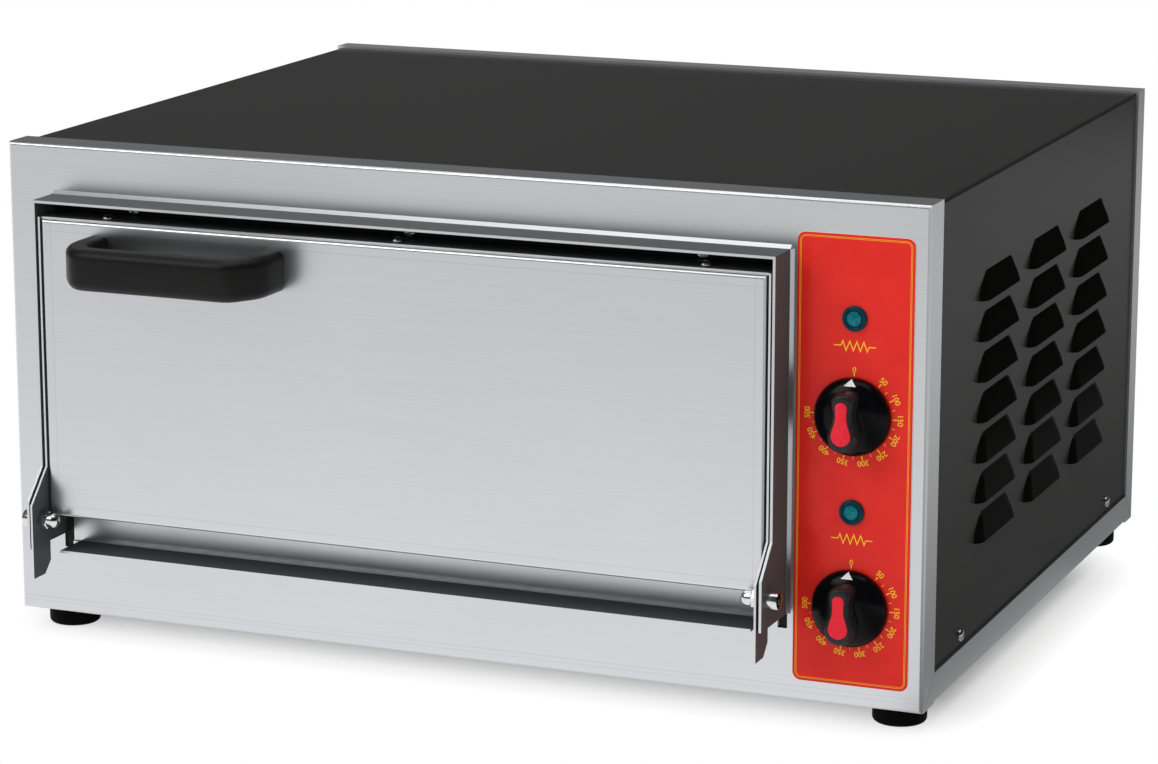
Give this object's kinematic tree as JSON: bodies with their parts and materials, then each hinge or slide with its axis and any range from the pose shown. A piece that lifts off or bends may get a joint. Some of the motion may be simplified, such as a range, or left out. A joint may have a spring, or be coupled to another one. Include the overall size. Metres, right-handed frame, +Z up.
{
  "type": "countertop pizza oven",
  "caption": "Box-shaped countertop electric pizza oven with a bottom-hinged front door, a red control strip with dial knobs, and a black louvred cover on rubber feet.",
  "frame": {"origin": "middle of the whole object in plan, on the plane under the feet", "axes": "+X to the right along the front, where the controls are; -Y out of the door; +Z up"},
  "size_m": [0.5742, 0.553, 0.299],
  "materials": {
    "stainless": "brushed",
    "black_paint": "satin",
    "rubber": "matt",
    "screw_steel": "bright",
    "handle_plastic": "satin",
    "knob_plastic": "gloss",
    "insert_plastic": "gloss",
    "label_plate": "printed",
    "lens_plastic": "gloss",
    "chamber_steel": "dull",
    "element_steel": "oxidised",
    "stone": "matt",
    "wool": "fibrous",
    "ceramic": "matt",
    "control_plastic": "moulded",
    "brass": "turned"
  },
  "bodies": {
    "oven": {"baking_stone": "stone", "base_pan": "stainless", "bay_partition": "chamber_steel", "cable_gland": "knob_plastic", "chamber_shell": "chamber_steel", "chamber_supports": "chamber_steel", "control_label": "label_plate", "cover_screws": "screw_steel", "element_bushings": "ceramic", "foot_screws": "screw_steel", "front_fascia": "stainless", "gland_nut": "knob_plastic", "hinge_bolts": "screw_steel", "hinge_nuts": "screw_steel", "hinge_washers": "screw_steel", "insulation_bottom": "wool", "insulation_left": "wool", "insulation_rear": "wool", "insulation_right": "wool", "insulation_top": "wool", "lower_bush_nut": "brass", "lower_element": "element_steel", "lower_element_saddles": "chamber_steel", "lower_pilot_lamp": "control_plastic", "lower_pilot_lens": "lens_plastic", "lower_sensing_bulb": "brass", "lower_thermostat": "control_plastic", "mouth_frame": "stainless", "mouth_screws": "screw_steel", "outer_cover": "black_paint", "rear_panel": "stainless", "rear_screws": "screw_steel", "rubber_feet": "rubber", "stone_rails": "chamber_steel", "terminal_block": "control_plastic", "upper_bush_nut": "brass", "upper_element": "element_steel", "upper_element_hangers": "chamber_steel", "upper_pilot_lamp": "control_plastic", "upper_pilot_lens": "lens_plastic", "upper_sensing_bulb": "brass", "upper_thermostat": "control_plastic"},
    "door": {"door_skin": "stainless", "door_inner_pan": "stainless", "door_insulation": "wool", "door_top_screws": "screw_steel", "door_handle": "handle_plastic", "handle_screws": "screw_steel"},
    "upper_dial": {"upper_shaft": "screw_steel", "upper_knob": "knob_plastic", "upper_knob_insert": "insert_plastic"},
    "lower_dial": {"lower_shaft": "screw_steel", "lower_knob": "knob_plastic", "lower_knob_insert": "insert_plastic"}
  },
  "joints": [
    {"name": "door_hinge", "type": "hinge", "parent": "oven", "child": "door", "pos_m": [-0.02545, -0.24, 0.0795], "axis": [1, 0, 0], "range_deg": [0, 90]},
    {"name": "upper_dial_turn", "type": "hinge", "parent": "oven", "child": "upper_dial", "pos_m": [0.24185, -0.2165, 0.1793], "axis": [0, 1, 0], "range_deg": [0, 270]},
    {"name": "lower_dial_turn", "type": "hinge", "parent": "oven", "child": "lower_dial", "pos_m": [0.24185, -0.2165, 0.0703], "axis": [0, 1, 0], "range_deg": [0, 270]}
  ]
}
